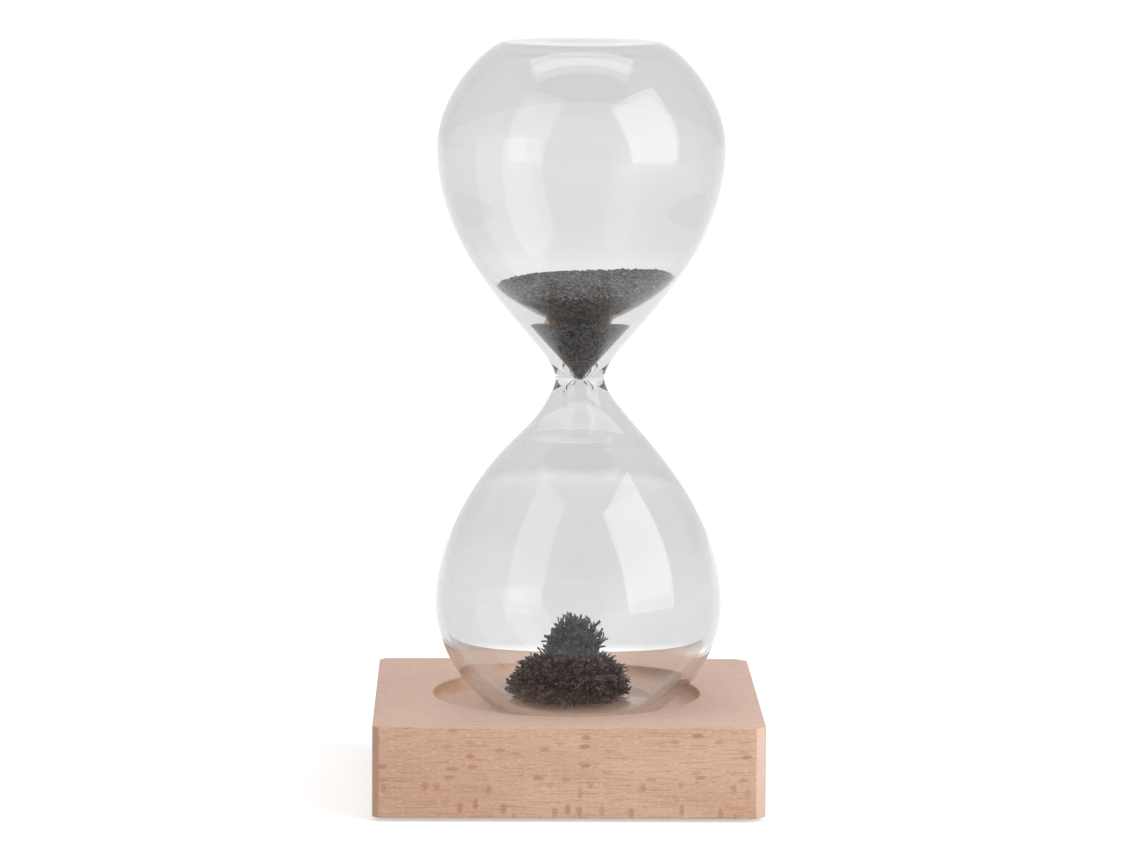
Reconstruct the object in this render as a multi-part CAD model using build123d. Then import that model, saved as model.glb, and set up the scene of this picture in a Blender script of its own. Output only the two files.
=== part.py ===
from build123d import *
import os

# A magnetic hourglass: two glass bulbs, blown apart and fused at the neck, hold iron
# powder and stand loose in the turned recess of a beech block. A magnet under the
# recess holds the fallen powder up in a spiky mound.
# Millimetres. The origin is the centre of the underside, and +Z is up.

# Beech block
block_side = 80.0
block_height = 18.8
left_corner_bevel = 1.4
right_corner_bevel = 2.1
block_edge_round = 0.4
recess_radius = 28.0
recess_depth = 3.5
recess_floor_round = 3.0

# Magnet, the pocket that it is glued into from below, and the felt that closes it
magnet_radius = 12.5
magnet_thickness = 6.0
magnet_cover = 2.0
glue_thickness = 0.3
plug_clearance = 0.05
felt_radius = 32.0
felt_thickness = 0.8

# Glass vessel, the same above and below its neck
vessel_height = 140.0
bulb_radius = 30.0
bulb_widest_rise = 22.0
bulb_wall = 1.5
neck_radius = 5.15
neck_bore_radius = 0.9
foot_radius = 15.8
foot_ring_width = 1.8
foot_hollow = 0.5
foot_wall = 1.8
fill_port_radius = 2.0
vessel_shift = 2.4

# Inside of each shoulder: a bowl that closes to a throat, then a funnel down to the bore.
# A flare is how much the radius grows for each millimetre away from the neck.
throat_radius = 11.6
throat_rise = 13.0
bowl_flare = 1.33
funnel_flare = 0.77
bowl_handle = 4.0
throat_handle = 4.0
bore_handle = 3.0

# How full each stretch of the vessel's outline is: a curve's handle as a share of its rise
outer_shoulder_fullness = 0.54
outer_neck_fullness = 0.15
inner_shoulder_fullness = 0.452
belly_fullness = 0.52
foot_fullness = 0.24

# Iron powder
powder_clearance = 0.3
heap_height = 19.5
heap_slope_across = 4.0
heap_slope_back = 3.0
mound_radius = 12.9
mound_skirt_height = 9.5
crown_radius = 5.9
mound_height = 19.0
mound_undercut = 1.4
skirt_bulge = 2.7
crown_bulge = 1.0

# Heights that follow
block_top = felt_thickness + block_height
seat_height = block_top - recess_depth
pocket_ceiling = seat_height - magnet_cover
magnet_top = pocket_ceiling - glue_thickness
magnet_bottom = magnet_top - magnet_thickness
pocket_radius = magnet_radius + glue_thickness
neck_height = vessel_height / 2
shoulder_rise = neck_height - bulb_widest_rise
throat_height = neck_height - throat_rise
heap_reach = bulb_radius * 3


def curve(*points):
    """A Bezier curve in the XZ plane through (radius, height) handles."""
    return Bezier(*[(radius, 0, height) for radius, height in points])


def straight(start, end):
    """A straight line in the XZ plane between two (radius, height) points."""
    return Line((start[0], 0, start[1]), (end[0], 0, end[1]))


def turned(*edges):
    """The solid that a closed outline in the XZ plane sweeps about the Z axis."""
    return revolve(make_face(edges), Axis.Z)


def upright_cylinder(radius, bottom, top):
    """A cylinder on the Z axis between two heights."""
    return Pos(0, 0, bottom) * Cylinder(radius, top - bottom, align=(Align.CENTER, Align.CENTER, Align.MIN))


def shoulder_curve():
    """The S-shaped outside of a bulb, from its widest ring up to the middle of the neck."""
    return curve(
        (bulb_radius, bulb_widest_rise),
        (bulb_radius, bulb_widest_rise + outer_shoulder_fullness * shoulder_rise),
        (neck_radius, neck_height - outer_neck_fullness * shoulder_rise),
        (neck_radius, neck_height),
    )


def bowl_curve(gap=0.0):
    """The inside of a bulb from its widest ring to the throat, or a gap short of it."""
    radius = throat_radius - gap
    return curve(
        (bulb_radius - bulb_wall - gap, bulb_widest_rise),
        (bulb_radius - bulb_wall - gap, bulb_widest_rise + inner_shoulder_fullness * shoulder_rise),
        (radius + bowl_flare * bowl_handle, throat_height - bowl_handle),
        (radius, throat_height),
    )


def funnel_curve(gap=0.0):
    """The inside of the neck from the throat to the bore, or a gap short of it."""
    radius = throat_radius - gap
    tip = neck_bore_radius - gap
    return curve(
        (radius, throat_height),
        (radius - funnel_flare * throat_handle, throat_height + throat_handle),
        (tip + funnel_flare * bore_handle, neck_height - bore_handle),
        (tip, neck_height),
    )


def belly_curve(start_radius, start_height, belly_radius):
    """The round stretch from the foot out to a bulb's widest ring."""
    sweep = foot_fullness * (belly_radius - start_radius)
    rise = bulb_widest_rise - start_height
    return curve(
        (start_radius, start_height),
        (start_radius + sweep, start_height),
        (belly_radius, bulb_widest_rise - belly_fullness * rise),
        (belly_radius, bulb_widest_rise),
    )


def hollow_curve(radius, height):
    """The sunken middle of a foot, from the axis out to a radius."""
    return curve(
        (0, height + foot_hollow),
        (radius / 2, height + foot_hollow),
        (radius / 2, height),
        (radius, height),
    )


def half_vessel():
    """The lower half of the glass, from its foot to the middle of the neck."""
    ring_inner_radius = foot_radius - foot_ring_width
    floor_radius = foot_radius - bulb_wall / 2
    inner_belly = bulb_radius - bulb_wall
    return turned(
        hollow_curve(ring_inner_radius, 0),
        straight((ring_inner_radius, 0), (foot_radius, 0)),
        belly_curve(foot_radius, 0, bulb_radius),
        shoulder_curve(),
        straight((neck_radius, neck_height), (neck_bore_radius, neck_height)),
        funnel_curve(),
        bowl_curve(),
        belly_curve(floor_radius, foot_wall, inner_belly),
        hollow_curve(floor_radius, foot_wall),
        straight((0, foot_wall + foot_hollow), (0, foot_hollow)),
    )


def above_the_neck(shape):
    """The same shape turned over to the other side of the neck."""
    return mirror(shape, Plane.XY.offset(neck_height))


def in_its_seat(shape):
    """Moves a shape from the vessel's own axes to the recess of the block."""
    return Pos(vessel_shift, 0, seat_height) * shape


def lower_glass_bulb():
    """The bulb that stands in the recess, with the hole that it was filled through."""
    fill_port = upright_cylinder(fill_port_radius, 0, foot_wall + 2 * foot_hollow)
    return in_its_seat(half_vessel() - fill_port)


def upper_glass_bulb():
    """The bulb above the neck, fused to the lower one at its middle."""
    return in_its_seat(above_the_neck(half_vessel()))


def fill_port_seal():
    """The glass bead that closes the hole in the foot, level with it on both sides."""
    hole = upright_cylinder(fill_port_radius, 0, foot_wall + 2 * foot_hollow)
    return in_its_seat(half_vessel() & hole)


def iron_powder_heap():
    """The powder that lies in the funnel of the upper bulb, with a slanting top."""
    belly = bulb_radius - bulb_wall - powder_clearance
    tip = neck_bore_radius - powder_clearance
    funnel = turned(
        bowl_curve(powder_clearance),
        funnel_curve(powder_clearance),
        straight((tip, neck_height), (0, neck_height)),
        straight((0, neck_height), (0, bulb_widest_rise)),
        straight((0, bulb_widest_rise), (belly, bulb_widest_rise)),
    )
    above = Pos(0, 0, neck_height + heap_height) * Rot(heap_slope_back, -heap_slope_across, 0)
    cover = Box(heap_reach, heap_reach, vessel_height, align=(Align.CENTER, Align.CENTER, Align.MIN))
    return in_its_seat(above_the_neck(funnel) - above * cover)


def iron_spike_mound():
    """The outer shape of the powder that the magnet holds up on the lower floor."""
    floor = seat_height + foot_wall + foot_hollow + powder_clearance
    skirt_foot = mound_radius - mound_undercut
    skirt_top = floor + mound_skirt_height
    crown_foot = (crown_radius, skirt_top)
    return turned(
        straight((0, floor), (skirt_foot, floor)),
        curve((skirt_foot, floor), (mound_radius + skirt_bulge, floor + mound_skirt_height / 2), crown_foot),
        curve(crown_foot, (crown_radius + crown_bulge, floor + mound_height), (0, floor + mound_height)),
        straight((0, floor + mound_height), (0, floor)),
    )


def block_outline():
    """The square outline of the block with its four corners cut off."""
    half = block_side / 2
    return Polyline(
        (-half + left_corner_bevel, -half),
        (half - right_corner_bevel, -half),
        (half, -half + right_corner_bevel),
        (half, half - right_corner_bevel),
        (half - right_corner_bevel, half),
        (-half + left_corner_bevel, half),
        (-half, half - left_corner_bevel),
        (-half, -half + left_corner_bevel),
        close=True,
    )


def base_block():
    """The beech block, with the vessel's recess above and the magnet's pocket below."""
    block = Pos(0, 0, felt_thickness) * extrude(make_face(block_outline()), block_height)
    rims = block.faces().sort_by(Axis.Z)[-1].edges() + block.faces().sort_by(Axis.Z)[0].edges()
    block = fillet(rims, block_edge_round)
    recess = upright_cylinder(recess_radius, seat_height, block_top)
    recess = fillet(recess.edges().sort_by(Axis.Z)[0], recess_floor_round)
    pocket = upright_cylinder(pocket_radius, felt_thickness, pocket_ceiling)
    return block - recess - pocket


def magnet_disc():
    """The flat round magnet under the middle of the recess."""
    return upright_cylinder(magnet_radius, magnet_bottom, magnet_top)


def magnet_glue():
    """The glue over and around the magnet, which fills the rest of its pocket."""
    pocket = upright_cylinder(pocket_radius, magnet_bottom, pocket_ceiling)
    return pocket - magnet_disc()


def magnet_pocket_plug():
    """The beech disc that closes the pocket and backs the magnet."""
    return upright_cylinder(pocket_radius - plug_clearance, felt_thickness, magnet_bottom)


def felt_pad():
    """The round felt under the block, which the whole object stands on."""
    return upright_cylinder(felt_radius, 0, felt_thickness)


pieces = {
    "base_block": base_block,
    "magnet_disc": magnet_disc,
    "magnet_glue": magnet_glue,
    "magnet_pocket_plug": magnet_pocket_plug,
    "felt_pad": felt_pad,
    "lower_glass_bulb": lower_glass_bulb,
    "upper_glass_bulb": upper_glass_bulb,
    "fill_port_seal": fill_port_seal,
    "iron_powder_heap": iron_powder_heap,
    "iron_spike_mound": iron_spike_mound,
}

os.makedirs("parts", exist_ok=True)
for name, make in pieces.items():
    export_step(make(), f"parts/{name}.step")
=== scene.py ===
"""The looks of a magnetic hourglass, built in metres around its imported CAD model.

A blown glass vessel stands in the turned recess of a beech block. Iron powder lies in
its upper bulb, and the powder that has run through stands up in spikes over a magnet.
"""

from __future__ import annotations

import logging
import math
from dataclasses import dataclass, field
from enum import Enum
from itertools import pairwise

import bpy
import numpy as np
from mathutils import Matrix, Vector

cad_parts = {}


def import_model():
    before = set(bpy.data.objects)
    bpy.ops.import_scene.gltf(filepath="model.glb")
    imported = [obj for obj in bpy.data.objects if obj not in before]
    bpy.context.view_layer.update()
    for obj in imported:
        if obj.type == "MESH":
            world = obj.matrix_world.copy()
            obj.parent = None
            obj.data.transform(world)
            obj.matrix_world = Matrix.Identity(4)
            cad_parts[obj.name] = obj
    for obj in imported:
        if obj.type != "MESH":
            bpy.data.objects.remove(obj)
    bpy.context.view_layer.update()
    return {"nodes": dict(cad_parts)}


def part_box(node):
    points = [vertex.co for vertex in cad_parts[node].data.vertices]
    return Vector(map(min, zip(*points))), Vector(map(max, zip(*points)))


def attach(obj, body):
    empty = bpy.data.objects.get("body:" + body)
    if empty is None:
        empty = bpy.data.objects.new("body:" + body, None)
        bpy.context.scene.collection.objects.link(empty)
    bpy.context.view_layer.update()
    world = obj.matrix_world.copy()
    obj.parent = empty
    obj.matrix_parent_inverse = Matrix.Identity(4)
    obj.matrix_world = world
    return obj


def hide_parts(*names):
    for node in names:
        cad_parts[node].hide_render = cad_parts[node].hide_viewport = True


LOG = logging.getLogger("hourglass")
MM = 0.001
MERGE_REACH = 1e-7

Outline = list[tuple[float, float]]


class Skin(Enum):
    """Which side of a turned surface is the outside of the material."""

    OUTER = False
    CAVITY = True


class Ray(Enum):
    """Kinds of ray that the Light Path node tells apart."""

    CAMERA = "Is Camera Ray"
    GLOSSY = "Is Glossy Ray"
    TRANSMISSION = "Is Transmission Ray"
    SHADOW = "Is Shadow Ray"
    DIFFUSE = "Is Diffuse Ray"


# ---------------------------------------------------------------- node trees


class Recipe:
    """A node tree under construction, for a material or the world."""

    def __init__(self, tree: bpy.types.NodeTree) -> None:
        """Starts from an empty tree."""
        self.tree = tree
        self.tree.nodes.clear()

    @classmethod
    def material(cls, name: str) -> tuple[bpy.types.Material, "Recipe"]:
        """A new material and the recipe that fills it.

        Args:
            name: The material's name.

        Returns:
            The material and its recipe.
        """
        made = bpy.data.materials.new(name)
        made.use_nodes = True
        return made, cls(made.node_tree)

    def add(self, kind: str, inputs: dict | None = None, **settings) -> bpy.types.Node:
        """Adds a node, sets its properties and fills or links its inputs.

        Args:
            kind: The node's type name.
            inputs: Input name or number to a value or to an output socket.
            settings: Properties of the node itself.

        Returns:
            The node.
        """
        node = self.tree.nodes.new(kind)
        for name, value in settings.items():
            setattr(node, name, value)
        for key, value in (inputs or {}).items():
            if isinstance(value, bpy.types.NodeSocket):
                self.tree.links.new(value, node.inputs[key])
            else:
                node.inputs[key].default_value = value
        return node

    def place(self, stretch: tuple[float, float, float] = (1, 1, 1)) -> bpy.types.NodeSocket:
        """Object coordinates, multiplied along each axis."""
        source = self.add("ShaderNodeTexCoord").outputs["Object"]
        return self.add("ShaderNodeMapping", {"Vector": source, "Scale": stretch}).outputs["Vector"]

    def noise(self, vector: bpy.types.NodeSocket, scale: float, detail: float = 2.0) -> bpy.types.NodeSocket:
        """Fractal noise between 0 and 1 at so many lumps a metre."""
        inputs = {"Vector": vector, "Scale": scale, "Detail": detail}
        return self.add("ShaderNodeTexNoise", inputs).outputs["Fac"]

    def band(self, value: bpy.types.NodeSocket, low: float, high: float) -> bpy.types.NodeSocket:
        """Maps low..high onto 0..1, clamped and eased."""
        inputs = {"Value": value, "From Min": low, "From Max": high}
        return self.add("ShaderNodeMapRange", inputs, interpolation_type="SMOOTHSTEP").outputs["Result"]

    def math(self, operation: str, first, second=0.0) -> bpy.types.NodeSocket:
        """One arithmetic step on sockets or numbers."""
        return self.add("ShaderNodeMath", {0: first, 1: second}, operation=operation).outputs[0]

    def times(self, first, second) -> bpy.types.NodeSocket:
        """A product of sockets or numbers."""
        return self.math("MULTIPLY", first, second)

    def plus(self, first, second) -> bpy.types.NodeSocket:
        """A sum of sockets or numbers."""
        return self.math("ADD", first, second)

    def blend(self, share, first, second) -> bpy.types.NodeSocket:
        """Mixes two colours by a share."""
        node = self.add("ShaderNodeMix", {"Factor": share}, data_type="RGBA")
        for socket, value in ((node.inputs[6], first), (node.inputs[7], second)):
            if isinstance(value, bpy.types.NodeSocket):
                self.tree.links.new(value, socket)
            else:
                socket.default_value = (*value, 1.0)
        return node.outputs[2]

    def rays(self, *kinds: Ray) -> bpy.types.NodeSocket:
        """1 for the named kinds of ray and 0 for the rest."""
        path = self.add("ShaderNodeLightPath")
        total = path.outputs[kinds[0].value]
        for kind in kinds[1:]:
            total = self.math("MAXIMUM", total, path.outputs[kind.value])
        return total

    def finish(self, shader: bpy.types.NodeSocket, volume: bpy.types.NodeSocket | None = None) -> None:
        """Sends a shader, and a volume if there is one, to the material's output."""
        inputs = {"Surface": shader} if volume is None else {"Surface": shader, "Volume": volume}
        self.add("ShaderNodeOutputMaterial", inputs)


# ---------------------------------------------------------------- finishes


@dataclass(frozen=True)
class BeechFinish:
    """Steamed beech, sanded and waxed, with its grain along X."""

    name: str = "steamed_beech"
    pale: tuple = (0.66, 0.445, 0.33)
    warm: tuple = (0.60, 0.375, 0.255)
    line: tuple = (0.43, 0.235, 0.135)
    fleck: tuple = (0.43, 0.185, 0.115)
    end_grain: tuple = (0.50, 0.29, 0.19)
    glint: tuple = (0.78, 0.58, 0.47)
    # Painted shade and light: a shaded copy of the wood for the left chamfers and a lit copy for the right
    # ones.
    shaded_left_chamfer: tuple = (0.44, 0.27, 0.215)
    lit_right_chamfer: tuple = (0.80, 0.60, 0.53)
    # Painted sheen: the paler, pinker colour of the upward faces under the light from above.
    top_sheen: tuple = (0.66, 0.472, 0.405)
    roughness: float = 0.55

    def build(self, recess_radius: float, block_top: float) -> bpy.types.Material:
        """Makes the material.

        Args:
            recess_radius: Radius of the turned recess, which shows tool rings.
            block_top: Height of the block's top face.

        Returns:
            The material.
        """
        made, r = Recipe.material(self.name)
        geometry = r.add("ShaderNodeNewGeometry")
        facing = r.add("ShaderNodeSeparateXYZ", {"Vector": geometry.outputs["Normal"]})
        across = r.math("ABSOLUTE", facing.outputs["Y"])
        along = r.math("ABSOLUTE", facing.outputs["X"])
        drift = r.noise(r.place((0.4, 1, 1)), 45, 3)
        clouds = r.noise(r.place((0.25, 1, 1.6)), 170, 4)
        patches = r.plus(r.times(drift, 0.5), r.times(clouds, 0.5))
        base = r.blend(r.band(patches, 0.36, 0.64), self.warm, self.pale)
        # Painted sheen: faces that look upward are painted paler and pinker, as the light from above makes
        # them look.
        base = r.blend(r.times(r.band(facing.outputs["Z"], 0.6, 0.95), 0.55), base, self.top_sheen)
        lines = r.noise(r.place((0.055, 1, 1.3)), 2400, 4)
        line_share = r.times(r.band(lines, 0.46, 0.72), r.plus(r.times(across, 0.46), 0.18))
        coloured = r.blend(line_share, base, self.line)
        pores = r.noise(r.place((0.16, 1, 1)), 4200, 1)
        coloured = r.blend(r.times(r.band(pores, 0.56, 0.70), 0.5), coloured, self.line)
        glints = r.band(r.noise(r.place((0.25, 1, 1)), 3400, 1), 0.58, 0.72)
        coloured = r.blend(r.times(glints, 0.6), coloured, self.glint)
        flecks = self._flecks(r, across)
        coloured = r.blend(flecks, coloured, self.fleck)
        coloured = r.blend(r.times(r.band(along, 0.8, 0.95), 0.55), coloured, self.end_grain)
        # Painted light and shade: the chamfers are painted darker on the left and lighter on the right, as
        # the lamps fall on them.
        cut = r.times(r.band(along, 0.5, 0.65), r.band(across, 0.5, 0.65))
        to_right = r.math("GREATER_THAN", facing.outputs["X"], 0.0)
        shade = r.blend(to_right, self.shaded_left_chamfer, self.lit_right_chamfer)
        coloured = r.blend(r.times(cut, 0.5), coloured, shade)
        rings = self._tool_rings(r, recess_radius, block_top)
        rough = r.plus(r.times(clouds, 0.2), self.roughness - 0.1)
        height = r.plus(r.times(lines, -0.5), r.times(pores, -0.5))
        height = r.plus(height, rings)
        bump = r.add("ShaderNodeBump", {"Strength": 0.35, "Distance": 0.12 * MM, "Height": height})
        shader = r.add(
            "ShaderNodeBsdfPrincipled",
            {
                "Base Color": coloured,
                "Roughness": rough,
                "Normal": bump.outputs["Normal"],
                "Specular IOR Level": 0.3,
            },
        )
        r.finish(shader.outputs[0])
        return made

    def _flecks(self, r: Recipe, across: bpy.types.NodeSocket) -> bpy.types.NodeSocket:
        """The small lens-shaped ray ends that show on the front and back faces.

        Args:
            r: The recipe to add to.
            across: How squarely a face looks along Y, from 0 to 1.

        Returns:
            The share of fleck colour.
        """
        place = r.add("ShaderNodeSeparateXYZ", {"Vector": r.place()})
        low_down = r.band(place.outputs["Z"], 9 * MM, 7 * MM)
        high_up = r.math("SUBTRACT", 1.0, low_down)
        lenses = r.times(self._fleck_layer(r, place, (0.66, 1.5), 0.6), high_up)
        posts = r.times(self._fleck_layer(r, place, (1.15, 0.6), 0.5), low_down)
        share = r.plus(lenses, posts)
        return r.times(share, r.band(across, 0.7, 0.9))

    def _fleck_layer(self, r: Recipe, place, stretch: tuple, missing: float) -> bpy.types.NodeSocket:
        """Flecks of one shape, one to a cell, in a sheet that runs along X and Z.

        Args:
            r: The recipe to add to.
            place: The separated place.
            stretch: How much the cells are shrunk along X and along Z.
            missing: The share of cells without a fleck.

        Returns:
            The share of fleck colour.
        """
        level = r.plus(place.outputs["X"], r.times(place.outputs["Y"], 3.1))
        sheet = {"X": r.times(level, stretch[0]), "Y": r.times(place.outputs["Z"], stretch[1])}
        flat = r.add("ShaderNodeCombineXYZ", sheet).outputs[0]
        wobble = r.add("ShaderNodeTexNoise", {"Vector": flat, "Scale": 500.0, "Detail": 1.0})
        centring = {0: wobble.outputs["Color"], 1: (0.5, 0.5, 0.5)}
        shift = r.add("ShaderNodeVectorMath", centring, operation="SUBTRACT")
        shift = r.add("ShaderNodeVectorMath", {0: shift.outputs[0], "Scale": 0.7 * MM}, operation="SCALE")
        moved = r.add("ShaderNodeVectorMath", {0: flat, 1: shift.outputs[0]}, operation="ADD").outputs[0]
        sizes = {"Vector": moved, "Scale": 330.0, "Randomness": 0.9}
        cells = r.add("ShaderNodeTexVoronoi", sizes, voronoi_dimensions="2D")
        chosen = r.add("ShaderNodeSeparateXYZ", {"Vector": cells.outputs["Color"]})
        spot = r.band(cells.outputs["Distance"], 0.27, 0.18)
        present = r.band(chosen.outputs["X"], missing, missing + 0.05)
        depth = r.plus(r.times(chosen.outputs["Y"], 0.5), 0.25)
        return r.times(r.times(spot, present), depth)

    def _tool_rings(self, r: Recipe, radius: float, top: float) -> bpy.types.NodeSocket:
        """The fine rings that a turning tool leaves in the recess.

        Args:
            r: The recipe to add to.
            radius: The recess's radius.
            top: The height of the block's top face.

        Returns:
            A height for the bump.
        """
        place = r.add("ShaderNodeSeparateXYZ", {"Vector": r.place()})
        flat = r.add("ShaderNodeCombineXYZ", {"X": place.outputs["X"], "Y": place.outputs["Y"]})
        reach = r.add("ShaderNodeVectorMath", {0: flat.outputs[0]}, operation="LENGTH").outputs["Value"]
        wave = r.math("SINE", r.times(reach, 2 * math.pi / (0.9 * MM)))
        slow = r.math("SINE", r.times(reach, 2 * math.pi / (3.1 * MM)))
        inside = r.math("LESS_THAN", reach, radius - 0.2 * MM)
        below = r.math("LESS_THAN", place.outputs["Z"], top - 0.3 * MM)
        rings = r.plus(r.times(wave, 0.35), r.times(slow, 0.45))
        return r.times(rings, r.times(inside, below))


@dataclass(frozen=True)
class BlownGlassFinish:
    """Clear blown glass, tinted grey on its outside, which lets lamps through.

    The foot is left clear below a slanting plane. A ray that has bounced more often than
    `longest_path` goes straight on with `trapped_tint`, so that none is lost in the wall.
    """

    name: str = "blown_glass"
    tint: tuple = (0.685, 0.688, 0.688)
    # Painted shade: a darker tint for the glass low down.
    lower_shade_tint: tuple = (0.625, 0.628, 0.63)
    # Painted shade: a darker tint where the glass is seen edge-on.
    grazing_shade_tint: tuple = (0.50, 0.503, 0.503)
    foot_tint: tuple = (0.95, 0.94, 0.93)
    inside_tint: tuple = (0.99, 0.99, 0.99)
    foot_heights: tuple = (29.6 * MM, 27.6 * MM)
    foot_slant: float = 0.175
    # Heights between which the painted shade darkens the glass.
    lower_shade_heights: tuple = (74.0 * MM, 56.0 * MM)
    trapped_tint: tuple = (0.82, 0.825, 0.82, 1.0)
    body: tuple = (0.30, 0.31, 0.32, 1.0)
    density: float = 8.0
    ior: float = 1.40
    lamp_tint: tuple = (0.998, 0.998, 0.997, 1.0)
    wave_height: float = 0.008 * MM
    longest_path: float = 3.5

    def build(self) -> bpy.types.Material:
        """Makes the material, with the slow waves of hand-blown glass."""
        made, r = Recipe.material(self.name)
        place = r.place((1, 1, 0.7))
        waves = r.noise(place, 45, 0)
        haze = r.band(r.noise(place, 130, 3), 0.5, 0.9)
        bump = r.add("ShaderNodeBump", {"Strength": 0.25, "Distance": self.wave_height, "Height": waves})
        grazing = r.add("ShaderNodeLayerWeight", {"Blend": 0.2}).outputs["Facing"]
        where = r.add("ShaderNodeSeparateXYZ", {"Vector": r.place()})
        height = r.plus(where.outputs["Z"], r.times(where.outputs["Y"], self.foot_slant))
        # Painted shade: the glass is tinted darker from 74 mm down, fully from 56 mm, for the shade in the
        # lower bulb.
        face = r.blend(r.band(where.outputs["Z"], *self.lower_shade_heights), self.tint, self.lower_shade_tint)
        # Painted shade: the glass is tinted darker where it is seen at a grazing angle, at its rims.
        skin = r.blend(r.band(grazing, 0.08, 0.5), face, self.grazing_shade_tint)
        skin = r.blend(r.band(height, *self.foot_heights), skin, self.foot_tint)
        outside = r.add("ShaderNodeAttribute", attribute_name="outside").outputs["Fac"]
        glass = r.add(
            "ShaderNodeBsdfPrincipled",
            {
                "Base Color": r.blend(outside, self.inside_tint, skin),
                "Roughness": r.times(haze, 0.012),
                "IOR": self.ior,
                "Transmission Weight": 1.0,
                "Normal": bump.outputs["Normal"],
            },
        )
        bounced = r.add("ShaderNodeLightPath").outputs["Ray Depth"]
        trapped = r.math("GREATER_THAN", bounced, self.longest_path)
        passing = r.add("ShaderNodeBsdfTransparent", {"Color": self.trapped_tint})
        mixed = r.add("ShaderNodeMixShader", {0: trapped, 1: glass.outputs[0], 2: passing.outputs[0]})
        clear = r.add("ShaderNodeBsdfTransparent", {"Color": self.lamp_tint})
        lamps = r.rays(Ray.SHADOW, Ray.DIFFUSE)
        mixed = r.add("ShaderNodeMixShader", {0: lamps, 1: mixed.outputs[0], 2: clear.outputs[0]})
        depth = r.add("ShaderNodeVolumeAbsorption", {"Color": self.body, "Density": self.density})
        r.finish(mixed.outputs[0], depth.outputs[0])
        return made


@dataclass(frozen=True)
class PowderFinish:
    """Iron powder in uneven grains, with painted shade where the mesh's "tip" attribute is low and a painted
    highlight where it is high.
    """

    name: str
    dark: tuple
    light: tuple
    grain: float
    roughness: float = 0.6
    metal: float = 0.35

    def build(self) -> bpy.types.Material:
        """Makes the material, with grains of the stated size."""
        made, r = Recipe.material(self.name)
        place = r.place()
        cells = r.add("ShaderNodeTexVoronoi", {"Vector": place, "Scale": 1 / self.grain, "Randomness": 1.0})
        tone = r.add("ShaderNodeSeparateXYZ", {"Vector": cells.outputs["Color"]}).outputs["X"]
        clumps = r.noise(place, 0.25 / self.grain, 3)
        share = r.band(r.plus(r.times(tone, 0.6), r.times(clumps, 0.6)), 0.3, 0.85)
        # Painted shade and highlight: the "tip" attribute is low on the heap's sides and at the spikes'
        # roots, which are painted darker as shade, and high at the spike tips, which are painted lighter as
        # glints. Loose grains carry a random value; the spike cores carry none, read 0 and stay darkest.
        tip = r.add("ShaderNodeAttribute", attribute_name="tip").outputs["Fac"]
        share = r.times(share, r.band(tip, 0.2, 0.95))
        colour = r.blend(share, self.dark, self.light)
        height = r.math("SUBTRACT", 1.0, cells.outputs["Distance"])
        bump = r.add("ShaderNodeBump", {"Strength": 0.9, "Distance": 0.35 * self.grain, "Height": height})
        rough = r.plus(r.times(tone, -0.18), self.roughness)
        shader = r.add(
            "ShaderNodeBsdfPrincipled",
            {
                "Base Color": colour,
                "Roughness": rough,
                "Metallic": self.metal,
                "Normal": bump.outputs["Normal"],
            },
        )
        r.finish(shader.outputs[0])
        return made


@dataclass(frozen=True)
class PlainFinish:
    """A hidden or simple surface: one colour mottled by noise, with a fine bump."""

    name: str
    dark: tuple
    light: tuple
    lumps: float
    roughness: float
    bump: float

    def build(self) -> bpy.types.Material:
        """Makes the material."""
        made, r = Recipe.material(self.name)
        place = r.place()
        mottle = r.noise(place, self.lumps, 4)
        fine = r.noise(place, self.lumps * 6, 2)
        colour = r.blend(r.band(mottle, 0.35, 0.65), self.dark, self.light)
        bump = r.add("ShaderNodeBump", {"Strength": 0.6, "Distance": self.bump, "Height": fine})
        rough = r.plus(r.times(mottle, 0.16), self.roughness - 0.08)
        shader = r.add(
            "ShaderNodeBsdfPrincipled",
            {"Base Color": colour, "Roughness": rough, "Normal": bump.outputs["Normal"]},
        )
        r.finish(shader.outputs[0])
        return made


# ---------------------------------------------------------------- modelling helpers


def bezier(handles: Outline, count: int) -> Outline:
    """Points along a cubic curve.

    Args:
        handles: Its four (radius, height) handles.
        count: How many steps to cut it into.

    Returns:
        The points, both ends included.
    """
    (r0, z0), (r1, z1), (r2, z2), (r3, z3) = handles
    points = []
    for step in range(count + 1):
        t = step / count
        a, b, c, d = (1 - t) ** 3, 3 * (1 - t) ** 2 * t, 3 * (1 - t) * t * t, t**3
        points.append((a * r0 + b * r1 + c * r2 + d * r3, a * z0 + b * z1 + c * z2 + d * z3))
    return points


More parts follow.
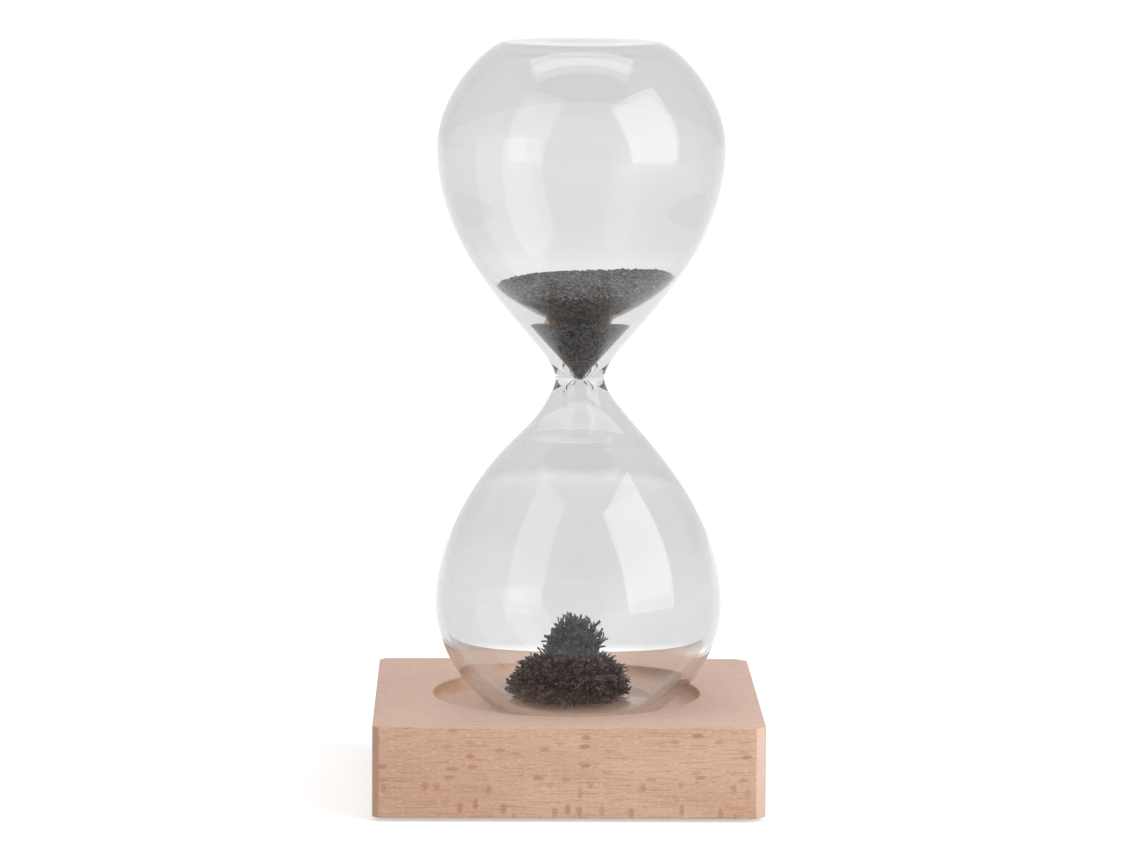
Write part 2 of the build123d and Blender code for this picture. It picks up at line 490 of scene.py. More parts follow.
def turn(
    name: str, outline: Outline, centre: tuple[float, float], steps: int, skin: Skin = Skin.OUTER
) -> bpy.types.Object:
    """Spins an outline about an upright axis into a closed surface.

    Args:
        name: The new object's name.
        outline: Its (radius, height) points, from axis to axis.
        centre: X and Y of the axis.
        steps: How many faces there are round it.
        skin: Whether the surface is the outside of a solid or the wall of a cavity.

    Returns:
        The object, at the origin.
    """
    bpy.ops.object.select_all(action="DESELECT")
    bpy.ops.mesh.primitive_plane_add(size=MM)
    made = bpy.context.object
    made.name = name
    bpy.ops.object.mode_set(mode="EDIT")
    bpy.ops.mesh.select_mode(type="VERT")
    bpy.ops.mesh.select_all(action="SELECT")
    bpy.ops.mesh.merge(type="CENTER")
    start_radius, start_height = outline[0]
    bpy.ops.transform.translate(value=(centre[0] + start_radius, centre[1], start_height))
    for (r0, z0), (r1, z1) in pairwise(outline):
        bpy.ops.mesh.extrude_region_move(TRANSFORM_OT_translate={"value": (r1 - r0, 0, z1 - z0)})
    bpy.ops.mesh.select_all(action="SELECT")
    bpy.ops.mesh.spin(steps=steps, angle=2 * math.pi, center=(*centre, 0), axis=(0, 0, 1))
    bpy.ops.mesh.select_all(action="SELECT")
    bpy.ops.mesh.remove_doubles(threshold=0.002 * MM)
    bpy.ops.mesh.normals_make_consistent(inside=skin.value)
    bpy.ops.object.mode_set(mode="OBJECT")
    bpy.ops.object.shade_smooth()
    return made


def corners(piece: bpy.types.Object) -> np.ndarray:
    """The piece's vertices as an array of rows."""
    found = np.empty(len(piece.data.vertices) * 3)
    piece.data.vertices.foreach_get("co", found)
    return found.reshape(-1, 3)


def set_corners(piece: bpy.types.Object, places: np.ndarray) -> None:
    """Moves the piece's vertices to new places."""
    piece.data.vertices.foreach_set("co", places.ravel())
    piece.data.update()


def select_only(*pieces: bpy.types.Object) -> None:
    """Selects the pieces and nothing else, with the last one active."""
    bpy.ops.object.select_all(action="DESELECT")
    for piece in pieces:
        piece.select_set(True)
    bpy.context.view_layer.objects.active = pieces[-1]


def store(piece: bpy.types.Object, name: str, values: np.ndarray) -> None:
    """Stores a number at each corner, for a finish to read."""
    layer = piece.data.attributes.new(name, "FLOAT", "POINT")
    layer.data.foreach_set("value", values.astype(np.float32))


def apply_modifier(piece: bpy.types.Object, kind: str, **settings) -> None:
    """Adds a modifier and applies it.

    Args:
        piece: The object.
        kind: The modifier's type.
        settings: The modifier's properties.
    """
    select_only(piece)
    modifier = piece.modifiers.new(kind.lower(), kind)
    for name, value in settings.items():
        setattr(modifier, name, value)
    bpy.ops.object.modifier_apply(modifier=modifier.name)


def smooth_by_angle(piece: bpy.types.Object, degrees: float) -> None:
    """Shades a piece smooth except across edges sharper than an angle."""
    select_only(piece)
    bpy.ops.object.shade_smooth_by_angle(angle=math.radians(degrees))


def subtract(piece: bpy.types.Object, cutter: bpy.types.Object) -> None:
    """Cuts one object out of another and removes the cutter."""
    apply_modifier(piece, "BOOLEAN", operation="DIFFERENCE", solver="EXACT", object=cutter)
    bpy.data.objects.remove(cutter, do_unlink=True)


def dress(piece: bpy.types.Object, material: bpy.types.Material) -> None:
    """Gives a piece one material."""
    piece.data.materials.clear()
    piece.data.materials.append(material)


def copies(name: str, points: np.ndarray, faces: np.ndarray) -> bpy.types.Object:
    """One object that holds many copies of a small shape.

    Args:
        name: The new object's name.
        points: Places of the corners, one block for each copy.
        faces: Corner numbers of the faces of one copy, all with as many sides.

    Returns:
        The object, at the origin.
    """
    count, size = points.shape[0], points.shape[1]
    every = faces[None] + (np.arange(count) * size)[:, None, None]
    mesh = bpy.data.meshes.new(name)
    mesh.from_pydata(points.reshape(-1, 3), [], every.reshape(-1, faces.shape[1]))
    mesh.update()
    made = bpy.data.objects.new(name, mesh)
    bpy.context.collection.objects.link(made)
    return made


def template(add, **settings) -> tuple[np.ndarray, np.ndarray]:
    """The corners and triangles of a small primitive, which is then removed.

    Args:
        add: The operator that makes the primitive.
        settings: The operator's own settings.

    Returns:
        Corner places and triangle corner numbers.
    """
    bpy.ops.object.select_all(action="DESELECT")
    add(**settings)
    made = bpy.context.object
    bpy.ops.object.mode_set(mode="EDIT")
    bpy.ops.mesh.select_all(action="SELECT")
    bpy.ops.mesh.quads_convert_to_tris()
    bpy.ops.object.mode_set(mode="OBJECT")
    points = corners(made)
    faces = np.array([tuple(face.vertices) for face in made.data.polygons])
    bpy.data.objects.remove(made, do_unlink=True)
    return points, faces


def frames_along(directions: np.ndarray) -> tuple[np.ndarray, np.ndarray]:
    """Two unit vectors square to each direction and to each other."""
    helper = np.where(np.abs(directions[:, 2:3]) < 0.9, [[0, 0, 1]], [[1, 0, 0]])
    side = np.cross(directions, helper)
    side /= np.linalg.norm(side, axis=1, keepdims=True)
    return side, np.cross(directions, side)


# ---------------------------------------------------------------- the glass


@dataclass
class Vessel:
    """Two blown bulbs and the pinched neck between them, as one smooth shell."""

    body: str = "vessel"
    node_names: tuple = ("lower_glass_bulb", "upper_glass_bulb")
    bulb_wall: float = 1.5 * MM
    neck_radius: float = 5.15 * MM
    neck_bore_radius: float = 0.9 * MM
    foot_radius: float = 15.8 * MM
    foot_ring_width: float = 1.8 * MM
    foot_hollow: float = 0.5 * MM
    foot_wall: float = 1.8 * MM
    widest_rise: float = 22.0 * MM
    outer_fullness: tuple = (0.54, 0.15)
    inner_fullness: float = 0.452
    throat_radius: float = 11.6 * MM
    throat_rise: float = 13.0 * MM
    bowl_flare: float = 1.33
    bowl_handle: float = 4.0 * MM
    funnel_flare: float = 0.77
    throat_handle: float = 4.0 * MM
    bore_handle: float = 3.0 * MM
    belly_fullness: float = 0.52
    foot_fullness: float = 0.24
    steps: int = 192
    pinch_depth: float = 1.0 * MM
    pinch_below_neck: float = 9.0 * MM
    pinch_reach: float = 5.5 * MM
    pinch_full_radius: float = 8.0 * MM
    base: float = field(init=False)
    top: float = field(init=False)
    radius: float = field(init=False)
    centre: tuple = field(init=False)

    def __post_init__(self) -> None:
        """Reads the vessel's place and outer size from the frame."""
        low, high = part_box(self.node_names[0])
        self.base = low[2]
        self.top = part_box(self.node_names[1])[1][2]
        self.radius = (high[0] - low[0]) / 2
        self.centre = ((low[0] + high[0]) / 2, (low[1] + high[1]) / 2)

    @property
    def half(self) -> float:
        """From the foot to the middle of the neck."""
        return (self.top - self.base) / 2

    @property
    def neck(self) -> float:
        """The height of the middle of the neck in the frame."""
        return self.base + self.half

    def outer_shoulder(self) -> Outline:
        """The S-shaped outside from a bulb's widest ring to the neck."""
        rise = self.half - self.widest_rise
        handles = [
            (self.radius, self.widest_rise),
            (self.radius, self.widest_rise + self.outer_fullness[0] * rise),
            (self.neck_radius, self.half - self.outer_fullness[1] * rise),
            (self.neck_radius, self.half),
        ]
        return bezier(handles, 64)

    def inner_shoulder(self) -> Outline:
        """The inside of a shoulder: a bowl down to the throat, then a funnel to the bore."""
        widest = self.radius - self.bulb_wall
        rise = self.half - self.widest_rise
        throat = (self.throat_radius, self.half - self.throat_rise)
        bowl = [
            (widest, self.widest_rise),
            (widest, self.widest_rise + self.inner_fullness * rise),
            (throat[0] + self.bowl_flare * self.bowl_handle, throat[1] - self.bowl_handle),
            throat,
        ]
        funnel = [
            throat,
            (throat[0] - self.funnel_flare * self.throat_handle, throat[1] + self.throat_handle),
            (self.neck_bore_radius + self.funnel_flare * self.bore_handle, self.half - self.bore_handle),
            (self.neck_bore_radius, self.half),
        ]
        return bezier(bowl, 48) + bezier(funnel, 24)[1:]

    def belly(self, start_radius: float, start_height: float, widest: float, count: int) -> Outline:
        """The round stretch from a foot out to the widest ring."""
        sweep = self.foot_fullness * (widest - start_radius)
        rise = self.widest_rise - start_height
        handles = [
            (start_radius, start_height),
            (start_radius + sweep, start_height),
            (widest, self.widest_rise - self.belly_fullness * rise),
            (widest, self.widest_rise),
        ]
        return bezier(handles, count)

    def hollow(self, radius: float, height: float, count: int) -> Outline:
        """The sunken middle of a foot."""
        raised = height + self.foot_hollow
        return bezier([(0, raised), (radius / 2, raised), (radius / 2, height), (radius, height)], count)

    def outer_half(self) -> Outline:
        """The outside of the lower bulb, from the axis to the neck."""
        ring = self.foot_radius - self.foot_ring_width
        points = self.hollow(ring, 0, 10)
        points += self.belly(self.foot_radius, 0, self.radius, 34)
        return points + self.outer_shoulder()[1:]

    def inner_half(self) -> Outline:
        """The inside of the lower bulb, from the axis to the neck."""
        floor_radius = self.foot_radius - self.bulb_wall / 2
        widest = self.radius - self.bulb_wall
        points = self.hollow(floor_radius, self.foot_wall, 10)
        points += self.belly(floor_radius, self.foot_wall, widest, 34)[1:]
        return points + self.inner_shoulder()[1:]

    def both_halves(self, half: Outline) -> Outline:
        """A half outline with its mirror image above the neck, in the frame's heights."""
        lower = [(r, self.base + z) for r, z in half]
        upper = [(r, self.top - z) for r, z in reversed(half[:-1])]
        return lower + upper

    def pinch(self, piece: bpy.types.Object) -> None:
        """Draws the left side of the lower shoulder in a little, as the glassblower left it."""
        places = corners(piece)
        offset = places[:, :2] - self.centre
        reach = np.hypot(offset[:, 0], offset[:, 1])
        toward_left = np.clip(-offset[:, 0] / np.maximum(reach, MERGE_REACH), 0, 1) ** 1.5
        height = self.neck - self.pinch_below_neck
        near = np.exp(-(((places[:, 2] - height) / self.pinch_reach) ** 2))
        drawn = self.pinch_depth * toward_left * near * np.clip(reach / self.pinch_full_radius, 0, 1)
        scale = 1 - drawn / np.maximum(reach, MERGE_REACH)
        places[:, :2] = self.centre + offset * scale[:, None]
        set_corners(piece, places)

    def build(self) -> bpy.types.Object:
        """Turns the outside and the inside and joins them into one shell.

        Returns:
            The glass.
        """
        outer = turn("blown_glass_vessel", self.both_halves(self.outer_half()), self.centre, self.steps)
        hollow = self.both_halves(self.inner_half())
        inner = turn("vessel_cavity", hollow, self.centre, self.steps, Skin.CAVITY)
        self.pinch(outer)
        for piece, share in ((outer, 1.0), (inner, 0.0)):
            store(piece, "outside", np.full(len(piece.data.vertices), share))
        select_only(inner, outer)
        bpy.ops.object.join()
        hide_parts(*self.node_names)
        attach(outer, self.body)
        return outer


# ---------------------------------------------------------------- the iron powder


@dataclass
class PowderHeap:
    """The powder in the funnel of the upper bulb, with loose grains over its slanting top."""

    vessel: Vessel
    node: str = "iron_powder_heap"
    body: str = "upper_powder"
    clearance: float = 0.16 * MM
    middle_rise: float = 19.5 * MM
    slope_right: float = 0.07
    slope_back: float = 0.05
    wall_shade: float = 0.55
    ripple: float = 0.22 * MM
    dish: float = 0.5 * MM
    dish_radius: float = 18.0 * MM
    top_roughness: float = 0.10 * MM
    steps: int = 220
    wall_rings: int = 70
    top_rings: int = 90
    grain_size: float = 0.26 * MM
    grain_count: int = 7000
    seed: int = 7

    def wall_radius(self, rise: np.ndarray) -> np.ndarray:
        """The funnel's radius at so much above the neck, less the clearance."""
        glass = self.vessel
        outline = glass.inner_shoulder()
        rises = [glass.half - z for _, z in reversed(outline)]
        radii = [r for r, _ in reversed(outline)]
        return np.interp(rise, rises, radii) - self.clearance

    def top_rise(self, x: np.ndarray, y: np.ndarray) -> np.ndarray:
        """How far the slanting top is above the neck at a place beside the axis."""
        slow = np.sin(x / (5.1 * MM) + 0.6) * np.cos(y / (6.3 * MM)) * self.ripple
        dished = -self.dish * (1 - (x * x + y * y) / self.dish_radius**2)
        return self.middle_rise + self.slope_right * x + self.slope_back * y + slow + dished

    def rim(self, angles: np.ndarray) -> tuple[np.ndarray, np.ndarray]:
        """Where the top meets the glass, found by a few rounds of correction.

        Args:
            angles: Directions round the axis.

        Returns:
            The rim's radius and its rise above the neck, for each direction.
        """
        rise = np.full_like(angles, self.middle_rise)
        for _ in range(12):
            radius = self.wall_radius(rise)
            rise = self.top_rise(radius * np.cos(angles), radius * np.sin(angles))
        return self.wall_radius(rise), rise

    def build_body(self) -> bpy.types.Object:
        """The heap itself: a turned blank whose corners are settled against glass and slope."""
        tip = float(self.wall_radius(np.array([0.0]))[0])
        blank: Outline = [(0, 0)]
        blank += [(tip * (1 + ring), ring) for ring in range(self.wall_rings + 1)]
        top = self.wall_rings + 1.0
        blank += [(tip * top * (1 - ring / self.top_rings), top) for ring in range(1, self.top_rings + 1)]
        piece = turn("upper_iron_powder", [(r, z * MM) for r, z in blank], (0, 0), self.steps)
        places = corners(piece)
        angles = np.arctan2(places[:, 1], places[:, 0])
        rim_radius, rim_rise = self.rim(angles)
        ring = places[:, 2] / MM
        on_top = ring > self.wall_rings + 0.5
        rise = np.where(on_top, rim_rise, rim_rise * (ring / self.wall_rings) ** 0.9)
        radius = self.wall_radius(rise)
        share = np.hypot(places[:, 0], places[:, 1]) / (tip * top)
        radius = np.where(on_top, rim_radius * share, radius)
        radius = np.where(np.hypot(places[:, 0], places[:, 1]) < MERGE_REACH, 0, radius)
        x, y = radius * np.cos(angles), radius * np.sin(angles)
        rise = np.where(on_top, self.top_rise(x, y), rise)
        rng = np.random.default_rng(self.seed)
        rough = rng.uniform(-1, 1, len(x)) * self.top_roughness
        rise = rise + np.where(on_top & (share < 0.985), rough, 0)
        centre = self.vessel.centre
        set_corners(piece, np.stack([x + centre[0], y + centre[1], rise + self.vessel.neck], axis=1))
        # Painted shade: the heap's sides against the glass get a lower "tip" value, so the finish paints
        # them darker.
        store(piece, "tip", np.where(on_top, 1.0, self.wall_shade))
        return piece

    def build_grains(self) -> bpy.types.Object:
        """Loose grains on the top, each a small faceted lump."""
        points, faces = template(bpy.ops.mesh.primitive_ico_sphere_add, subdivisions=1, radius=1)
        rng = np.random.default_rng(self.seed + 1)
        angles = rng.uniform(0, 2 * math.pi, self.grain_count)
        rim_radius, _ = self.rim(angles)
        radius = rim_radius * np.sqrt(rng.uniform(0, 1, self.grain_count)) - self.grain_size * 0.8
        radius = np.maximum(radius, 0)
        x, y = radius * np.cos(angles), radius * np.sin(angles)
        lift = rng.uniform(-0.3, 1.3, self.grain_count) * self.grain_size
        z = self.vessel.neck + self.top_rise(x, y) + lift
        sizes = self.grain_size * rng.lognormal(0, 0.28, (self.grain_count, 1, 1))
        squash = rng.uniform(0.7, 1.25, (self.grain_count, 1, 3))
        places = points[None] * sizes * squash
        centre = self.vessel.centre
        places += np.stack([x + centre[0], y + centre[1], z], axis=1)[:, None]
        piece = copies("upper_iron_grains", places, faces)
        store(piece, "tip", np.repeat(rng.uniform(self.wall_shade, 1.0, self.grain_count), len(points)))
        return piece

    def build(self) -> list[bpy.types.Object]:
        """Builds the heap and its grains and puts them on their body."""
        made = [self.build_body(), self.build_grains()]
        for piece in made:
            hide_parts(self.node)
            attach(piece, self.body)
        return made


@dataclass
class SpikeMound:
    """The powder over the magnet: a dark core with thousands of tapering spikes on it."""

    node: str = "iron_spike_mound"
    body: str = "lower_powder"
    skirt_shift: float = 0.6 * MM
    crown_shift: float = 1.9 * MM
    skirt_radius: float = 10.7 * MM
    skirt_height: float = 7.4 * MM
    crown_radius: float = 4.6 * MM
    crown_height: float = 15.2 * MM
    spike_length: float = 2.25 * MM
    spike_radius: float = 0.225 * MM
    skirt_tufts: int = 470
    crown_tufts: int = 230
    spikes_in_a_tuft: int = 3
    needle_levels: tuple = (0.0, 0.3, 0.5, 0.72, 0.9, 1.0)
    needle_widths: tuple = (1.0, 0.8, 0.98, 0.72, 0.86, 0.45)
    core_roughness: float = 0.16 * MM
    root_depth: float = 0.4 * MM
    root_scatter: float = 0.24 * MM
    fan_spread: float = 0.26
    seed: int = 21

    @property
    def corners_of_a_needle(self) -> int:
        """How many corners one needle's mesh has."""
        return 4 * len(self.needle_levels)

    def __post_init__(self) -> None:
        """Reads the mound's floor from the frame."""
        low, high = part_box(self.node)
        self.floor = low[2] - 0.2 * MM
        self.centre_y = (low[1] + high[1]) / 2

    def skirt_outline(self) -> Outline:
        """The low, bulging skirt."""
        low, wide, tall = self.floor, self.skirt_radius, self.skirt_height
        handles = [
            (wide - 0.5 * MM, low),
            (wide + 1.2 * MM, low + 0.3 * tall),
            (wide - 1.6 * MM, low + tall),
            (self.crown_radius, low + tall),
        ]
        return [(0, low), *bezier(handles, 30), (0, low + tall)]

    def crown_outline(self) -> Outline:
        """The dome that rises from the middle of the skirt."""
        low, tall = self.floor, self.crown_height
        waist = low + 0.45 * tall
        handles = [
            (self.crown_radius, waist),
            (self.crown_radius + 1.2 * MM, low + 0.8 * tall),
            (self.crown_radius * 0.8, low + tall),
            (0, low + tall),
        ]
        return [(0, low + 1 * MM), (self.crown_radius, low + 1 * MM), *bezier(handles, 26)]

    def build_core(self, name: str, outline: Outline, shift: float) -> bpy.types.Object:
        """One of the two turned cores, roughened.

        Args:
            name: The new object's name.
            outline: Its outline.
            shift: X of its axis.

        Returns:
            The core.
        """
        piece = turn(name, outline, (shift, self.centre_y), 120)
        rng = np.random.default_rng(self.seed)
        places = corners(piece)
        lumps = rng.uniform(-1, 1, (len(places), 1)) * self.core_roughness
        outward = places - [shift, self.centre_y, self.floor + 3 * MM]
        outward /= np.maximum(np.linalg.norm(outward, axis=1, keepdims=True), MERGE_REACH)
        places += outward * lumps
        places[:, 2] = np.maximum(places[:, 2], self.floor)
        set_corners(piece, places)
        return piece

    def spikes(self, name: str, outline: Outline, shift: float, tufts: int, seed: int) -> bpy.types.Object:
        """Spikes that stand out of a core in small fans.

        Args:
            name: The new object's name.
            outline: The core's outline, whose curved part they stand on.
            shift: X of the core's axis.
            tufts: How many fans there are.
            seed: Seed of the random draws.

        Returns:
            The spikes, as one object.
        """
        rng = np.random.default_rng(seed)
        curve = np.array(outline)
        middle = (curve[1:] + curve[:-1]) / 2
        step = curve[1:] - curve[:-1]
        length = np.linalg.norm(step, axis=1)
        area = length * np.maximum(middle[:, 0], 0)
        area[0] = 0
        pick = rng.choice(len(area), tufts, p=area / area.sum())
        along = rng.uniform(0, 1, tufts)[:, None]
        root = curve[:-1][pick] + step[pick] * along
        normal = np.stack([step[pick][:, 1], -step[pick][:, 0]], axis=1)
        normal /= np.maximum(length[pick][:, None], MERGE_REACH)
        angle = rng.uniform(0, 2 * math.pi, tufts)
        cos, sin = np.cos(angle), np.sin(angle)
        roots = np.stack([shift + root[:, 0] * cos, self.centre_y + root[:, 0] * sin, root[:, 1]], axis=1)
        away = roots - [shift, self.centre_y, self.floor + 1.5 * MM]
        away /= np.linalg.norm(away, axis=1, keepdims=True)
        square = np.stack([normal[:, 0] * cos, normal[:, 0] * sin, normal[:, 1]], axis=1)
        lean = 0.4 * square + 0.7 * away
        roots = np.repeat(roots - self.root_depth * lean, self.spikes_in_a_tuft, axis=0)
        lean = np.repeat(lean, self.spikes_in_a_tuft, axis=0)
        lean += rng.normal(0, self.fan_spread, lean.shape)
        lean[:, 2] = np.maximum(lean[:, 2], 0.03)
        lean /= np.linalg.norm(lean, axis=1, keepdims=True)
        roots += rng.normal(0, self.root_scatter, roots.shape)
        made = copies(name, *self.needle(rng, roots, lean))
        self.mark_tips(made)
        return made

    def mark_tips(self, piece: bpy.types.Object) -> None:
        """Stores how far out along its needle each corner lies, for the finish to paint shade at the roots
        and a highlight at the tips.
        """
        needles = len(piece.data.vertices) // self.corners_of_a_needle
        share = np.repeat(np.array(self.needle_levels), 4)
        store(piece, "tip", np.tile(share, needles))

    def needle(
        self, rng: np.random.Generator, roots: np.ndarray, lean: np.ndarray
    ) -> tuple[np.ndarray, np.ndarray]:
        """Bent, tapering four-sided needles, like chains of filings.

        Args:
            rng: Source of the random draws.
            roots: Where each needle starts.
            lean: Which way each needle points.

        Returns:
            Corner places for each needle, and the faces of one.
        """
        count = len(roots)
        side, other = frames_along(lean)
        levels = np.array(self.needle_levels)
        length = self.spike_length * rng.lognormal(0, 0.22, count)
        length = np.minimum(length, self.spike_length * 1.5)
        thick = self.spike_radius * rng.lognormal(0, 0.2, count)
        bend = rng.normal(0, 0.16, (count, 2))
        knots = rng.normal(0, 0.10, (count, len(levels), 2))
        points = np.zeros((count, len(levels) * 4, 3))
        for level, (rise, width) in enumerate(zip(levels, self.needle_widths)):
            stray = bend * rise * rise * length[:, None] + knots[:, level] * thick[:, None] * 3 * rise
            middle = roots + lean * (rise * length)[:, None] + side * stray[:, :1] + other * stray[:, 1:]
            beads = 1 + 0.35 * rng.uniform(-1, 1, count)
            for corner in range(4):
                turn_by = corner * math.pi / 2 + level * 0.5
                outward = side * math.cos(turn_by) + other * math.sin(turn_by)
                points[:, level * 4 + corner] = middle + outward * (thick * width * beads)[:, None]
        faces = []
        for start in range(0, 4 * (len(levels) - 1), 4):
            for corner in range(4):
                after = (corner + 1) % 4
                faces.append((start + corner, start + after, start + 4 + after, start + 4 + corner))
        last = (len(levels) - 1) * 4
        faces += [(3, 2, 1, 0), (last, last + 1, last + 2, last + 3)]
        return points, np.array(faces)

    def build(self) -> list[bpy.types.Object]:
        """Builds the cores and the spikes and puts them on their body."""
        made = [
            self.build_core("lower_iron_skirt", self.skirt_outline(), self.skirt_shift),
            self.build_core("lower_iron_crown", self.crown_outline(), self.crown_shift),
            self.spikes(
                "skirt_spikes", self.skirt_outline(), self.skirt_shift, self.skirt_tufts, self.seed + 1
            ),
            self.spikes(
                "crown_spikes", self.crown_outline(), self.crown_shift, self.crown_tufts, self.seed + 2
            ),
        ]
        for piece in made:
            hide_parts(self.node)
            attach(piece, self.body)
        return made


# ---------------------------------------------------------------- the block


@dataclass
class BeechBlock:
    """The square block with its turned recess, magnet pocket and worn edges."""

    node: str = "base_block"
    body: str = "block"
    left_bevel: float = 1.4 * MM
    right_bevel: float = 2.1 * MM
    recess_radius: float = 28.0 * MM
    recess_depth: float = 3.5 * MM
    recess_round: float = 3.0 * MM
    edge_round: float = 0.28 * MM
    steps: int = 256

    def __post_init__(self) -> None:
        """Reads the block's box and its pocket from the frame."""
        self.low, self.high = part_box(self.node)
        glue_low, glue_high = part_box("magnet_glue")
        self.pocket_radius = (glue_high[0] - glue_low[0]) / 2
        self.pocket_ceiling = glue_high[2]

    def cut_corners(self, piece: bpy.types.Object, side: int, width: float) -> None:
        """Bevels the two upright edges on one side of the block.

        Args:
            piece: The block.
            side: -1 for the left edges and 1 for the right.
            width: How far along each face the cut reaches.
        """
        bpy.ops.object.mode_set(mode="EDIT")
        bpy.ops.mesh.select_mode(type="EDGE")
        bpy.ops.mesh.select_all(action="DESELECT")
        bpy.ops.object.mode_set(mode="OBJECT")
        mesh = piece.data
        for edge in mesh.edges:
            first, second = (mesh.vertices[number].co for number in edge.vertices)
            upright = abs(first.z - second.z) > self.edge_round
            edge.select = upright and first.x * side > 0
        bpy.ops.object.mode_set(mode="EDIT")
        bpy.ops.mesh.bevel(offset=width, segments=1, affect="EDGES")
        bpy.ops.object.mode_set(mode="OBJECT")

    def recess_cutter(self) -> bpy.types.Object:
        """The turned shape that is taken out of the top."""
        seat, clear = self.high[2] - self.recess_depth, self.high[2] + 4 * MM
        outline: Outline = [(0, seat)]
        for step in range(13):
            angle = step / 12 * math.pi / 2
            radius = self.recess_radius - self.recess_round * (1 - math.sin(angle))
            outline.append((radius, seat + self.recess_round * (1 - math.cos(angle))))
        outline += [(self.recess_radius, clear), (0, clear)]
        return turn("recess_cutter", outline, (0, 0), self.steps)

    def pocket_cutter(self) -> bpy.types.Object:
        """The bore that takes the magnet from below."""
        start = self.low[2] - 4 * MM
        radius, ceiling = self.pocket_radius, self.pocket_ceiling
        outline = [(0, start), (radius, start), (radius, ceiling), (0, ceiling)]
        return turn("pocket_cutter", outline, (0, 0), 96)

    def build(self) -> bpy.types.Object:
        """Saws, bores, turns and breaks the edges of the block.

        Returns:
            The block.
        """
        middle, size = (self.low + self.high) / 2, self.high - self.low
        bpy.ops.object.select_all(action="DESELECT")
        bpy.ops.mesh.primitive_cube_add(size=1, location=middle, scale=size)
        bpy.ops.object.transform_apply(location=True, rotation=True, scale=True)
        piece = bpy.context.object
        piece.name = "beech_block"
        self.cut_corners(piece, -1, self.left_bevel)
        self.cut_corners(piece, 1, self.right_bevel)
        subtract(piece, self.recess_cutter())
        subtract(piece, self.pocket_cutter())
        limit = {"limit_method": "ANGLE", "angle_limit": math.radians(38)}
        apply_modifier(piece, "BEVEL", width=self.edge_round, segments=3, **limit)
        smooth_by_angle(piece, 30)
        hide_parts(self.node)
        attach(piece, self.body)
        return piece


# ---------------------------------------------------------------- studio


@dataclass
class Softbox:
    """A large soft lamp, given by where it stands and what it looks at."""

    name: str
    place: tuple
    target: tuple
    size: tuple
    radiance: float

    def build(self) -> None:
        """Makes the lamp and turns it towards its target."""
        data = bpy.data.lights.new(self.name, "AREA")
        data.shape = "RECTANGLE"
        data.size, data.size_y = self.size
        data.energy = self.radiance * math.pi * self.size[0] * self.size[1]
        lamp = bpy.data.objects.new(self.name, data)
        bpy.context.collection.objects.link(lamp)
        aim = np.array(self.target) - np.array(self.place)
        lamp.matrix_world = looking(self.place, aim)


def looking(place: tuple, aim: np.ndarray, roll: float = 0.0) -> Matrix:
    """The matrix of a camera or lamp at a place that looks along a direction.

    Args:
        place: Where it stands.
        aim: Which way it looks.
        roll: How far it is turned about its own view, in radians.

    Returns:
        Its world matrix.
    """
    forward = np.array(aim, dtype=float)
    forward /= np.linalg.norm(forward)
    level = np.cross(forward, (0, 0, 1))
    level /= np.linalg.norm(level)
    upward = np.cross(level, forward)
    right = math.cos(roll) * level + math.sin(roll) * upward
    above = -math.sin(roll) * level + math.cos(roll) * upward
    return Matrix([(right[i], above[i], -forward[i], place[i]) for i in range(3)] + [(0, 0, 0, 1)])


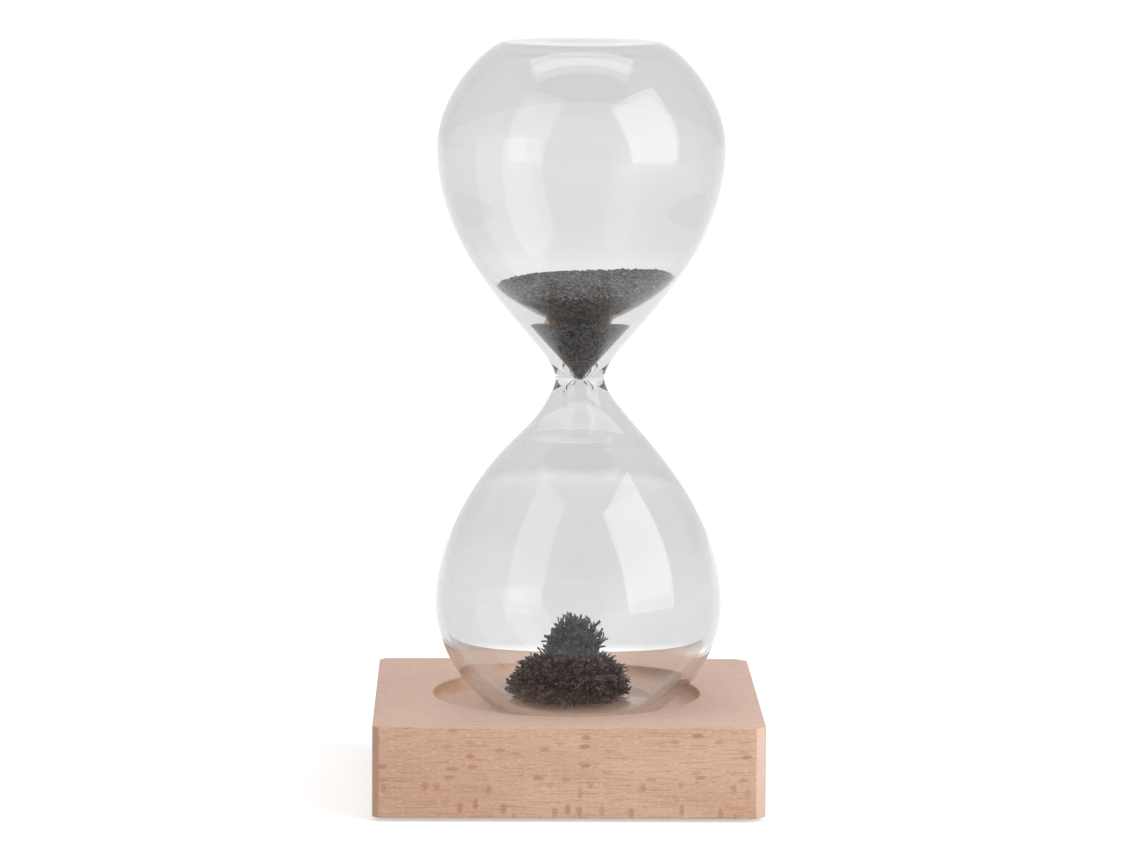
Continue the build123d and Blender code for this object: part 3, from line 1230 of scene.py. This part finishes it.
@dataclass
class Studio:
    """A white table and room, two tall softboxes, a lamp overhead and the camera."""

    camera_place: tuple = (-0.0184, -1.0568, 0.2149)
    yaw: float = math.radians(1.02)
    pitch: float = math.radians(7.506)
    roll: float = math.radians(0.36)
    lens: float = 161.2
    floor_size: float = 9.0
    floor_lift: float = 0.49
    far_lift: float = 0.31
    far_floor: tuple = (0.1, 1.1)
    room_light: float = 0.32
    lamps: tuple = (
        Softbox("right_softbox", (0.88, -0.50, 0.48), (0, 0, 0.10), (0.90, 1.35), 3.2),
        Softbox("left_softbox", (-0.74, -0.72, 0.58), (0, 0, 0.10), (0.66, 1.45), 1.4),
        Softbox("overhead", (0.0, 0.14, 1.25), (0, 0, 0.10), (1.15, 0.42), 2.4),
    )

    def build_camera(self) -> None:
        """Puts the camera in front of the object, a little above it."""
        data = bpy.data.cameras.new("camera")
        data.sensor_width, data.lens = 36.0, self.lens
        data.clip_start, data.clip_end = 0.01, 50
        camera = bpy.data.objects.new("camera", data)
        bpy.context.collection.objects.link(camera)
        level = math.cos(self.pitch)
        aim = (math.sin(self.yaw) * level, math.cos(self.yaw) * level, -math.sin(self.pitch))
        camera.matrix_world = looking(self.camera_place, aim, self.roll)
        bpy.context.scene.camera = camera

    def build_world(self) -> None:
        """A room that looks white and lights softly."""
        world = bpy.data.worlds.new("room")
        bpy.context.scene.world = world
        world.use_nodes = True
        r = Recipe(world.node_tree)
        seen = r.rays(Ray.CAMERA, Ray.GLOSSY, Ray.TRANSMISSION)
        strength = r.plus(r.times(seen, 1 - self.room_light), self.room_light)
        light = r.add("ShaderNodeBackground", {"Color": (1, 1, 1, 1), "Strength": strength})
        r.add("ShaderNodeOutputWorld", {"Surface": light.outputs[0]})

    def build_floor(self) -> None:
        """A pale table top that looks white where no shadow falls."""
        bpy.ops.object.select_all(action="DESELECT")
        bpy.ops.mesh.primitive_plane_add(size=self.floor_size)
        floor = bpy.context.object
        floor.name = "table_top"
        made, r = Recipe.material("white_table")
        tone = r.band(r.noise(r.place(), 30, 2), 0.3, 0.7)
        colour = r.blend(tone, (0.78, 0.78, 0.78), (0.80, 0.80, 0.80))
        paper = r.add("ShaderNodeBsdfDiffuse", {"Color": colour})
        seen = r.rays(Ray.CAMERA, Ray.GLOSSY, Ray.TRANSMISSION)
        away = r.add("ShaderNodeVectorMath", {0: r.place()}, operation="LENGTH").outputs["Value"]
        lift = r.plus(r.times(r.band(away, *self.far_floor), self.far_lift), self.floor_lift)
        glow = r.add("ShaderNodeEmission", {"Color": (1, 1, 1, 1), "Strength": r.times(seen, lift)})
        both = r.add("ShaderNodeAddShader", {0: paper.outputs[0], 1: glow.outputs[0]})
        r.finish(both.outputs[0])
        dress(floor, made)

    def build(self) -> None:
        """Builds the camera, the room, the table and the lamps."""
        self.build_camera()
        self.build_world()
        self.build_floor()
        for lamp in self.lamps:
            lamp.build()
        bpy.context.scene.view_settings.view_transform = "Standard"


# ---------------------------------------------------------------- the whole object


HEAP_FINISH = PowderFinish("loose_iron_powder", (0.010, 0.010, 0.011), (0.25, 0.25, 0.253), 0.36 * MM)
SPIKE_FINISH = PowderFinish(
    "magnetised_filings", (0.004, 0.0036, 0.0036), (0.155, 0.155, 0.16), 0.30 * MM, 0.45, 0.5
)
FELT_FINISH = PlainFinish("black_felt", (0.012, 0.012, 0.013), (0.035, 0.035, 0.037), 900, 0.95, 0.2 * MM)
MAGNET_FINISH = PlainFinish(
    "ferrite_magnet", (0.030, 0.030, 0.033), (0.055, 0.055, 0.06), 350, 0.6, 0.02 * MM
)
GLUE_FINISH = PlainFinish("clear_glue", (0.55, 0.47, 0.30), (0.66, 0.58, 0.40), 200, 0.25, 0.02 * MM)


def dress_hidden_parts(nodes: dict, beech: bpy.types.Material, glass: bpy.types.Material) -> None:
    """Gives the CAD parts that stay as they are their materials.

    Args:
        nodes: CAD node name to object.
        beech: The block's material, for the plug.
        glass: The vessel's material, for the seal.
    """
    finishes = {
        "felt_pad": FELT_FINISH.build(),
        "magnet_disc": MAGNET_FINISH.build(),
        "magnet_glue": GLUE_FINISH.build(),
        "magnet_pocket_plug": beech,
        "fill_port_seal": glass,
    }
    for name, finish in finishes.items():
        for slot in nodes[name].material_slots:
            slot.material = finish
        LOG.info("dressed %s in %s", name, finish.name)


def main() -> None:
    """Builds everything in order and logs each piece."""
    logging.basicConfig(level=logging.INFO, format="%(name)s: %(message)s")
    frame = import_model()
    Studio().build()
    glass = BlownGlassFinish().build()
    block = BeechBlock()
    beech = BeechFinish().build(block.recess_radius, float(block.high[2]))
    vessel = Vessel()
    work = [
        ([block.build()], beech),
        ([vessel.build()], glass),
        (PowderHeap(vessel).build(), HEAP_FINISH.build()),
        (SpikeMound().build(), SPIKE_FINISH.build()),
    ]
    for pieces, material in work:
        for piece in pieces:
            dress(piece, material)
            LOG.info("%s: %d faces in %s", piece.name, len(piece.data.polygons), material.name)
    dress_hidden_parts(frame["nodes"], beech, glass)


if __name__ == "__main__":
    main()
